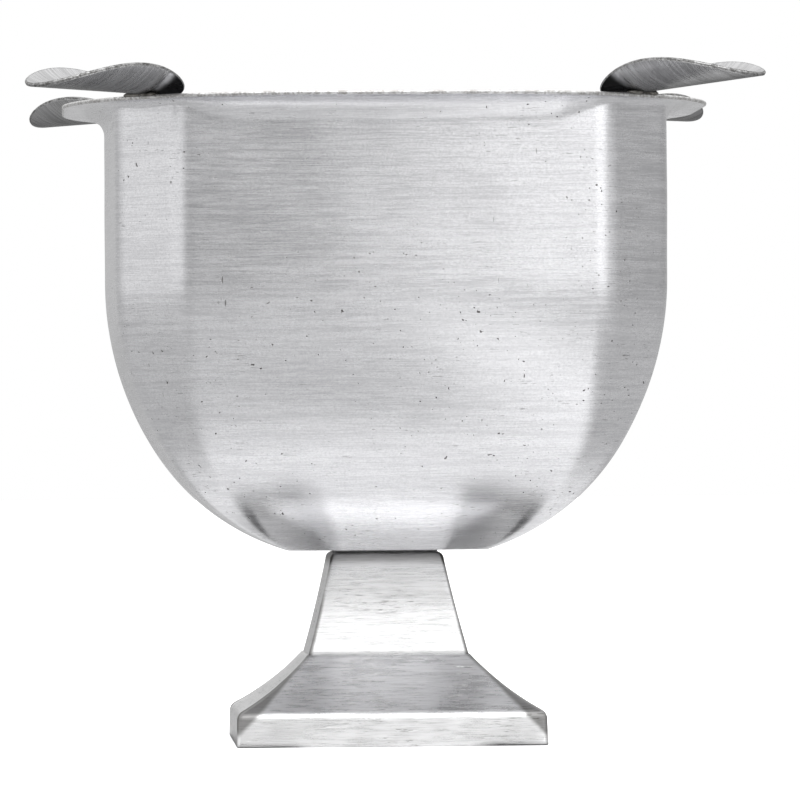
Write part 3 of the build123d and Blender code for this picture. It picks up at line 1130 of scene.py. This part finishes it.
@dataclass
class Rest:
    """One sheet trough on the rim, with the filler beads that hold it."""

    corner: Corner
    bend_radius: float = 24.2 * MM
    half_width: float = 17.0 * MM
    inner_length: float = 29.3 * MM
    outer_length: float = 29.3 * MM
    past_flange: float = 14.4 * MM
    gap: float = 0.5 * MM
    sheet: float = 1.2 * MM
    flange_reach: float = 109.14 * MM
    # how far inside the flange's edge the painted shade on the underside stops
    end_shade_inset: float = 3.0 * MM
    outline_steps: int = 120
    shares: tuple[float, ...] = (0.04, 0.12, 0.22, 0.34, 0.46, 0.58, 0.69, 0.79, 0.87, 0.93, 0.97, 0.985)
    edge_turns: tuple[float, ...] = (60.0, 30.0, 0.0, -30.0, -60.0)
    bead_steps: tuple[int, int] = (28, 14)
    bead_half: Triple = (1.9 * MM, 3.4 * MM, 0.85 * MM)
    bead_inset: float = 1.3 * MM
    bead_beside: float = 3.3 * MM
    bead_above: float = 0.25 * MM
    bead_tip: float = 0.12
    bead_ragged: Span = (0.16, 260.0)
    bead_seed: int = 11

    def seat(self) -> Matrix:
        """Place of the rest's own frame: X outwards, Z up from the middle of its lowest line."""
        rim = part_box("bowl")[1].z
        turned = Matrix.Rotation(self.corner.turn, 4, "Z")
        lifted = Matrix.Rotation(-self.corner.lift, 4, "Y")
        up = Matrix.Translation((self.flange_reach, 0.0, rim + self.gap))
        return turned @ up @ lifted @ Matrix.Translation((self.past_flange, 0.0, 0.0))

    def _bent(self, x: np.ndarray, y: np.ndarray, depth: float) -> np.ndarray:
        """Points on the trough at a depth into the sheet, from flat places.

        Args:
            x: places along the trough.
            y: places across it, on its inner surface.
            depth: 0 on the inner surface, the sheet's thickness on the outer.

        Returns:
            Array of points by XYZ.
        """
        bend = np.arcsin(np.clip(y / self.bend_radius, -1.0, 1.0))
        radius = self.bend_radius + depth
        top = self.bend_radius + self.sheet
        return np.column_stack([x, radius * np.sin(bend), top - radius * np.cos(bend)])

    def rings(self) -> np.ndarray:
        """Rings from the middle of the inner surface over the edge to the middle of the outer."""
        turns = np.linspace(0.0, 2.0 * math.pi, self.outline_steps, endpoint=False)
        length = np.where(np.cos(turns) < 0, self.inner_length, self.outer_length)
        along, across = length * np.cos(turns), self.half_width * np.sin(turns)
        rings = [self._bent(along * s, across * s, 0.0) for s in self.shares]
        bend = self.sheet / 2
        for angle in np.radians(self.edge_turns):
            share = 1.0 - bend * (1 - math.cos(angle)) / self.half_width
            rings.append(self._bent(along * share, across * share, bend - bend * math.sin(angle)))
        rings += [self._bent(along * s, across * s, self.sheet) for s in self.shares[::-1]]
        return np.stack(rings)

    def build(self) -> bpy.types.Object:
        """Make and dress the rest."""
        rings = self.rings()
        seat = np.array(self.seat())
        placed = rings @ seat[:3, :3].T + seat[:3, 3]
        finish = BrushedTrough("brushed_" + self.corner.label, -self.corner.turn).material()
        edge = FiledEdge("edge_" + self.corner.label).material()
        # painted shade: a copy of the trough finish for the underside, with greyed reflections and a
        # near-black inner end
        shaded_underside_to = self.flange_reach - self.end_shade_inset
        painted_end_shade = BrushedTrough("shaded_underside_" + self.corner.label, -self.corner.turn, painted_end_shade_to=shaded_underside_to).material()
        name = "rest_sheet_" + self.corner.label
        edge_rings = range(len(self.shares) - 1, len(self.shares) + len(self.edge_turns))
        rest = ring_form(name, placed, Ends.POLES, [finish, edge, painted_end_shade], edge_rings)
        self._paint_underside_shade(rest)
        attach(rest, BODY)
        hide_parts("rest_" + self.corner.label)
        log.info("%s: %d faces", name, len(rest.data.polygons))
        return rest

    def _paint_underside_shade(self, rest: bpy.types.Object) -> None:
        """Give the underside the copy of the finish with painted shade at its inner end.

        Args:
            rest: the finished mesh.
        """
        for face in rest.data.polygons:
            if face.normal.z < 0.0 and face.material_index == 0:
                face.material_index = 2

    def build_beads(self, finish: bpy.types.Material) -> bpy.types.Object:
        """Make the two ragged beads beside the rest's seat.

        Args:
            finish: the filler's material.

        Returns:
            The beads, as one object.
        """
        low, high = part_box("braze_" + self.corner.label)
        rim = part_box("bowl")[1].z
        turned = np.array(Matrix.Rotation(self.corner.turn, 4, "Z"))[:3, :3]
        parts = []
        for side in (-1.0, 1.0):
            turns = np.linspace(0.0, 2.0 * math.pi, self.bead_steps[0], endpoint=False)
            rings = []
            for fall in np.linspace(self.bead_tip, math.pi - self.bead_tip, self.bead_steps[1]):
                reach = math.sin(fall)
                x = self.flange_reach - self.bead_inset + self.bead_half[0] * reach * np.cos(turns)
                y = side * self.bead_beside + self.bead_half[1] * reach * np.sin(turns)
                z = np.full_like(turns, rim + self.bead_above - self.bead_half[2] * math.cos(fall))
                rings.append(np.column_stack([x, y, z]))
            blob = np.stack(rings)
            middle = blob.reshape(-1, 3).mean(axis=0)
            seed = self.bead_seed + int(side) + int(abs(self.corner.turn) * 10)
            swell = 1.0 + wobble(blob, *self.bead_ragged, seed)
            blob = middle + (blob - middle) * swell[..., None]
            parts.append(blob @ turned.T)
        beads = [ring_form("bead", part, Ends.POLES, [finish]) for part in parts]
        merged = merge("beads_" + self.corner.label, beads)
        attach(merged, BODY)
        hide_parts("braze_" + self.corner.label)
        log.info("%s, between %s and %s", merged.name, tuple(low), tuple(high))
        return merged


def merge(name: str, pieces: list[bpy.types.Object]) -> bpy.types.Object:
    """Join several objects of one material into one.

    Args:
        name: the new object's name.
        pieces: the objects, which are removed.

    Returns:
        The new object.
    """
    vertices: list[Triple] = []
    faces: list[list[int]] = []
    for piece in pieces:
        first = len(vertices)
        vertices.extend(tuple(vertex.co) for vertex in piece.data.vertices)
        faces.extend([first + index for index in face.vertices] for face in piece.data.polygons)
    mesh = bpy.data.meshes.new(name)
    mesh.from_pydata(vertices, [], faces)
    mesh.materials.append(pieces[0].data.materials[0])
    mesh.shade_smooth()
    for piece in pieces:
        bpy.data.objects.remove(piece)
    return link(name, mesh)


# ---------------------------------------------------------------- foot


@dataclass
class Column:
    """Hollow tapered column between the bowl and the base."""

    bottom_half: float = 25.0 * MM
    top_half: float = 17.3 * MM
    hollow_out: float = 0.25 * MM
    wall: float = 3.0 * MM
    top_wall: float = 4.0 * MM
    top_round: float = 2.4 * MM
    corner: float = 1.2 * MM
    hole_radius: float = 4.4 * MM
    top_shade: float = 0.62
    unevenness: tuple[float, float, int] = (0.12 * MM, 22.0, 21)
    even_above_foot: float = 4.0 * MM
    flat_share: float = 0.7
    hole_step: float = 1.6
    round_turns: Span = (8.0, 90.0)
    wall_steps: int = 26
    round_steps: int = 7
    inner_steps: int = 6
    side_steps: int = 22
    bottom: float = field(init=False)
    top: float = field(init=False)

    def __post_init__(self) -> None:
        """Take the column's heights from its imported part."""
        low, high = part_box("column")
        self.bottom, self.top = low.z, high.z

    def profile(self) -> list[Triple]:
        """Half width, corner radius and height of each ring, from the outside round to the inside."""
        slope = (self.bottom_half - self.top_half) / (self.top - self.bottom)
        shoulder = self.bottom_half - slope * (self.top - self.top_round - self.bottom)
        start = (self.bottom_half, self.bottom)
        end = (shoulder, self.top - self.top_round)
        points = bowed(start, end, self.hollow_out, self.wall_steps)
        centre = (shoulder - self.top_round, self.top - self.top_round)
        points += arc(centre, self.top_round, *self.round_turns, self.round_steps)
        points += [(self.top_half * self.flat_share, self.top), (self.hole_radius * self.hole_step, self.top)]
        rings = [(reach, min(self.corner, reach), z) for reach, z in points]
        rings.append((self.hole_radius, self.hole_radius, self.top))
        under = self.top - self.top_wall
        rings.append((self.hole_radius, self.hole_radius, under))
        inner_top = self.top_half - self.wall
        rings += [(reach, self.corner, under) for reach in (inner_top * self.flat_share, inner_top)]
        foot = (self.bottom_half - self.wall, self.bottom)
        inside = bowed((inner_top, under), foot, 0.0, self.inner_steps)
        rings += [(reach, self.corner, z) for reach, z in inside[1:]]
        return rings

    def build(self) -> bpy.types.Object:
        """Make and dress the column."""
        rings = tower_rings(self.profile(), self.side_steps, CORNER_STEPS)
        middle = np.clip((rings[..., 2] - self.bottom) / self.even_above_foot, 0, 1)
        rings = rings + outwards(rings) * (wobble(rings, *self.unevenness) * middle)[..., None]
        finish = CastFoot(
            "cast_column", self.bottom_half, self.top_half, self.bottom, self.top, shade=self.top_shade
        )
        column = ring_form("column_casting", rings, Ends.JOINED, [finish.material()])
        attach(column, BODY)
        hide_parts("column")
        log.info("column_casting: %d faces", len(column.data.polygons))
        return column


@dataclass
class Base:
    """Hollow plinth with a concave slope."""

    half: float = 48.1 * MM
    plinth: float = 11.4 * MM
    draft: float = 0.25 * MM
    edge_round: float = 3.2 * MM
    slope_hollow: float = 1.1 * MM
    head_half: float = 25.4 * MM
    wall: float = 3.4 * MM
    top_wall: float = 4.0 * MM
    rebate: float = 2.8 * MM
    ledge: float = 2.2 * MM
    corner: float = 1.5 * MM
    spigot_half: float = 21.45 * MM
    lip: float = 0.5 * MM
    slope_turn: float = 52.0
    round_starts: float = 10.0
    spigot_rim: float = 1.0 * MM
    hole_step: float = 1.7
    inner_lip: float = 0.4 * MM
    even_above_floor: float = 3.0 * MM
    slope_foot: float = 0.9
    lip_steps: int = 4
    plinth_steps: int = 8
    round_steps: int = 5
    slope_steps: int = 26
    unevenness: tuple[tuple[float, float, int], ...] = ((0.14 * MM, 16.0, 31), (0.05 * MM, 90.0, 32))
    side_steps: int = 34
    hole_radius: float = 4.4 * MM
    seat_height: float = field(init=False)

    def __post_init__(self) -> None:
        """Take the height that the column stands on from the column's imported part."""
        self.seat_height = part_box("column")[0].z

    def profile(self) -> list[Triple]:
        """Half width, corner radius and height of each ring, from the lower edge round to the rebate."""
        top = self.half - self.draft
        outside = arc((self.half - self.lip, self.lip), self.lip, -90.0, 0.0, self.lip_steps)
        outside += bowed(outside[-1], (top, self.plinth - self.edge_round), 0.0, self.plinth_steps)[1:]
        shoulder = (top - self.edge_round, self.plinth - self.edge_round)
        outside += arc(shoulder, self.edge_round, self.round_starts, self.slope_turn, self.round_steps)
        head = (self.head_half, self.seat_height)
        outside += bowed(outside[-1], head, self.slope_hollow, self.slope_steps)[1:]
        rings = [(reach, min(self.corner, reach), z) for reach, z in outside]
        rings.append((self.spigot_half + self.spigot_rim, self.corner, self.seat_height))
        rings.append((self.hole_radius * self.hole_step, self.corner, self.seat_height))
        rings.append((self.hole_radius, self.hole_radius, self.seat_height))
        under = self.seat_height - self.top_wall
        rings.append((self.hole_radius, self.hole_radius, under))
        inner = self.half - self.wall
        rings.append((self.head_half - self.wall, self.corner, under))
        for reach, z in [
            (inner - self.ledge, self.plinth - self.wall),
            (inner - self.ledge, self.rebate),
            (inner, self.rebate),
            (inner, self.inner_lip),
            (inner + self.inner_lip, 0.0),
        ]:
            rings.append((reach, self.corner, z))
        return rings

    def build(self) -> bpy.types.Object:
        """Make and dress the base."""
        rings = tower_rings(self.profile(), self.side_steps, CORNER_STEPS)
        free = np.clip(rings[..., 2] / self.even_above_floor, 0, 1)
        push = sum(wobble(rings, amount, waves, seed) for amount, waves, seed in self.unevenness)
        rings = rings + outwards(rings) * (push * free)[..., None]
        reach = 2 * self.half - self.slope_foot * self.half
        finish = CastFoot("cast_base", reach, self.head_half, 0.0, self.seat_height)
        base = ring_form("base_casting", rings, Ends.JOINED, [finish.material()])
        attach(base, BODY)
        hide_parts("base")
        log.info("base_casting: %d faces", len(base.data.polygons))
        return base


# ---------------------------------------------------------------- small pieces


@dataclass
class SmallPieces:
    """Bolt, washers, seals and the bottom cover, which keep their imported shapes."""

    steel: PlainFinish = PlainFinish(
        "machined_steel", (0.62, 0.62, 0.63), (0.34, 0.34, 0.34), (300.0, 300.0, 900.0), 0.32, 1.0
    )
    rubber: PlainFinish = PlainFinish(
        "grey_rubber", (0.16, 0.16, 0.165), (0.07, 0.07, 0.07), even(700.0), 0.7
    )
    plate: PlainFinish = PlainFinish(
        "mill_plate", (0.52, 0.52, 0.53), (0.32, 0.32, 0.33), (40.0, 700.0, 300.0), 0.42, 1.0
    )
    felt: PlainFinish = PlainFinish(
        "dark_felt",
        (0.065, 0.065, 0.072),
        (0.018, 0.018, 0.02),
        even(1600.0),
        0.95,
        depth=0.3 * MM,
        sheen=0.4,
    )

    def dress(self) -> None:
        """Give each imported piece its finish."""
        dressed = {
            self.steel: ["tie_bolt", "bolt_washer", "nut_washer", "spring_washer", "tie_nut"],
            self.rubber: ["bowl_seal", "column_gasket"],
            self.plate: ["base_cover"],
            self.felt: ["base_felt"],
        }
        for finish, names in dressed.items():
            material = finish.material()
            for name in names:
                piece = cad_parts[name]
                piece.data.materials.clear()
                piece.data.materials.append(material)
                log.info("%s: %s", name, finish.name)


# ---------------------------------------------------------------- studio


@dataclass
class Softbox:
    """One rectangular studio light that faces the object and isn't seen directly."""

    name: str
    azimuth: float
    elevation: float
    distance: float
    width: float
    height: float
    radiance: float

    def build(self, target: Vector) -> bpy.types.Object:
        """Hang the light.

        Args:
            target: the point that it faces.

        Returns:
            The light.
        """
        lamp = bpy.data.lights.new(self.name, "AREA")
        lamp.shape = "RECTANGLE"
        lamp.size, lamp.size_y = self.width, self.height
        lamp.energy = self.radiance * math.pi * self.width * self.height
        light = link(self.name, lamp)
        turn, rise = math.radians(self.azimuth), math.radians(self.elevation)
        away = Vector((math.sin(turn) * math.cos(rise), -math.cos(turn) * math.cos(rise), math.sin(rise)))
        light.location = target + away * self.distance
        light.rotation_euler = away.to_track_quat("Z", "Y").to_euler()
        light.visible_camera = False
        return light


@dataclass
class Studio:
    """Pale floor, soft lights and the camera."""

    camera_distance: float = 2.065
    camera_height: float = 87.3 * MM
    camera_azimuth: float = -2.7
    aim_right: float = 5.3 * MM
    aim_height: float = 107.2 * MM
    roll: float = 0.4
    lens: float = 294.75
    sensor: float = 36.0
    clip: Span = (0.1, 100.0)
    lit_height: float = 0.12
    background: float = 1.0
    floor_half: float = 14.0
    floor_cells: float = 3.0
    floor_tones: Span = (0.93, 0.95)
    floor_roughness: float = 0.9
    floor_gloss: float = 0.1
    floor_glow: float = 0.55
    # grey levels and reaches of the painted shadow and painted light zones that mirrored rays see on the
    # floor
    floor_ahead: float = 0.86
    floor_far: float = 0.42
    floor_far_right: float = 0.80
    brightens: Span = (0.00, 0.10)
    falls_off: Span = (0.08, 0.20)
    painted_floor_shade_beside: float = 0.36
    painted_floor_shadow: float = 0.10
    card_reach: Span = (0.09, 0.18)
    shadow_reach: Span = (0.060, 0.088)
    foot_reach: Span = (0.024, 0.034)
    ceiling: float = 1.45
    below: float = 0.35
    below_starts: Span = (-0.02, -0.3)
    ceiling_starts: Span = (0.42, 0.80)
    walls_end: Span = (0.09, 0.26)
    above_walls: float = 0.90
    walls: tuple[tuple[float, float], ...] = (
        (0.000, 0.55),
        (0.120, 0.50),
        (0.225, 0.86),
        (0.290, 1.05),
        (0.385, 1.05),
        (0.430, 0.24),
        (0.470, 0.14),
        (0.494, 0.24),
        (0.516, 0.84),
        (0.548, 1.85),
        (0.585, 2.00),
        (0.640, 0.80),
        (0.730, 0.34),
        (0.860, 0.34),
        (1.000, 0.55),
    )

    def build_floor(self) -> bpy.types.Object:
        """Lay the floor: evenly pale to the camera, with painted shadow under and beside the bowl and painted
        light and dark zones that only its reflections show.
        """
        mesh = bpy.data.meshes.new("floor")
        reach = self.floor_half
        corners = [(-reach, -reach, 0.0), (reach, -reach, 0.0), (reach, reach, 0.0), (-reach, reach, 0.0)]
        mesh.from_pydata(corners, [], [[0, 1, 2, 3]])
        graph = Graph("pale_floor")
        cloud = graph.noise(graph.stretched(even(self.floor_cells)))
        mirrored = graph.node("ShaderNodeLightPath", {}, output="Is Glossy Ray")
        seen = graph.node("ShaderNodeLightPath", {}, output="Is Camera Ray")
        pale = graph.blend(cloud, *(even(tone) for tone in self.floor_tones))
        x, _, _ = graph.axes(graph.place())
        # painted reflection tones: darker beside the foot, brighter ahead and to the right, darkest under the
        # bowl as painted shadow
        near = 1.0 - abs(x).rise(*self.card_reach)
        away = graph.node("ShaderNodeVectorMath", {0: graph.place()}, {"operation": "LENGTH"}, output="Value")
        far = graph.blend(x.rise(*self.brightens), even(self.floor_far), even(self.floor_far_right))
        ahead = graph.blend(away.rise(*self.falls_off), even(self.floor_ahead), far)
        dim = graph.blend(near, even(self.painted_floor_shade_beside), ahead)
        lit = away.rise(*self.shadow_reach).highest(1.0 - abs(x).rise(*self.foot_reach))
        dim = graph.blend(lit, even(self.painted_floor_shadow), dim)
        varying = {
            "Base Color": graph.blend(mirrored, pale, dim),
            "Emission Color": graph.blend(seen, even(0.0), even(1.0)),
        }
        constant = {
            "Roughness": self.floor_roughness,
            "Specular IOR Level": self.floor_gloss,
            "Emission Strength": self.floor_glow,
        }
        mesh.materials.append(graph.finish(varying, constant))
        floor = link("floor", mesh)
        return floor

    def build_sky(self) -> None:
        """Soft walls of light round the object, with a pale background where they are seen directly."""
        world = bpy.data.worlds.new("studio")
        bpy.context.scene.world = world
        world.use_nodes = True
        sky = Graph.of_world(world)
        x, y, z = sky.axes(sky.node("ShaderNodeTexCoord", {}, output="Generated"))
        turn = sky.node("ShaderNodeMath", {0: x, 1: 0.0 - y}, {"operation": "ARCTAN2"})
        level = sky.node("ShaderNodeValToRGB", {"Fac": turn / (2.0 * math.pi) + 0.5}, {"stops": self.walls})
        lit = sky.blend(z.rise(*self.walls_end), level, even(self.above_walls))
        lit = sky.blend(z.rise(*self.ceiling_starts), lit, even(self.ceiling))
        lit = sky.blend(z.rise(*self.below_starts), lit, even(self.below))
        fill = sky.node("ShaderNodeBackground", {"Color": lit, "Strength": 1.0})
        seen = sky.node("ShaderNodeBackground", {"Color": (1.0, 1.0, 1.0, 1.0), "Strength": self.background})
        camera = sky.node("ShaderNodeLightPath", {}, output="Is Camera Ray")
        mixed = sky.node("ShaderNodeMixShader", {0: camera, 1: fill, 2: seen})
        sky.node_output(mixed, "ShaderNodeOutputWorld")

    def build_lights(self) -> None:
        """Hang the softboxes."""
        target = Vector((0.0, 0.0, self.lit_height))
        boxes = [
            Softbox("front_high", -3.0, 47.0, 1.5, 1.1, 0.60, 2.3),
            Softbox("key_right", 34.0, 26.0, 1.5, 0.4, 0.5, 0.7),
            Softbox("top", 0.0, 86.0, 1.5, 1.0, 1.0, 0.9),
        ]
        for box in boxes:
            box.build(target)

    def build_camera(self) -> bpy.types.Object:
        """Set up the camera."""
        lens = bpy.data.cameras.new("camera")
        lens.lens = self.lens
        lens.sensor_width = self.sensor
        lens.clip_start, lens.clip_end = self.clip
        camera = link("camera", lens)
        turn = math.radians(self.camera_azimuth)
        ahead = Vector((-math.sin(turn), math.cos(turn), 0.0))
        right = Vector((math.cos(turn), math.sin(turn), 0.0))
        place = -ahead * self.camera_distance + Vector((0.0, 0.0, self.camera_height))
        aim = right * self.aim_right + Vector((0.0, 0.0, self.aim_height))
        level = (aim - place).to_track_quat("-Z", "Y").to_matrix().to_4x4()
        rolled = Matrix.Rotation(math.radians(-self.roll), 4, "Z")
        camera.matrix_world = Matrix.Translation(place) @ level @ rolled
        bpy.context.scene.camera = camera
        return camera

    def build(self) -> None:
        """Set up the whole studio."""
        self.build_floor()
        self.build_sky()
        self.build_lights()
        self.build_camera()
        bpy.context.scene.view_settings.view_transform = "Standard"
        log.info("studio ready")


def main() -> None:
    """Build the ashtray and its studio."""
    logging.basicConfig(level=logging.INFO, format="%(message)s")
    Studio().build()
    Bowl().build()
    filler = PlainFinish(
        "filler_metal", (0.30, 0.29, 0.27), (0.07, 0.065, 0.06), even(420.0), 0.45, 1.0, 0.2 * MM
    )
    bead_finish = filler.material()
    for corner in Corner:
        rest = Rest(corner)
        rest.build()
        rest.build_beads(bead_finish)
    Column().build()
    Base().build()
    SmallPieces().dress()


if __name__ == "__main__":
    main()
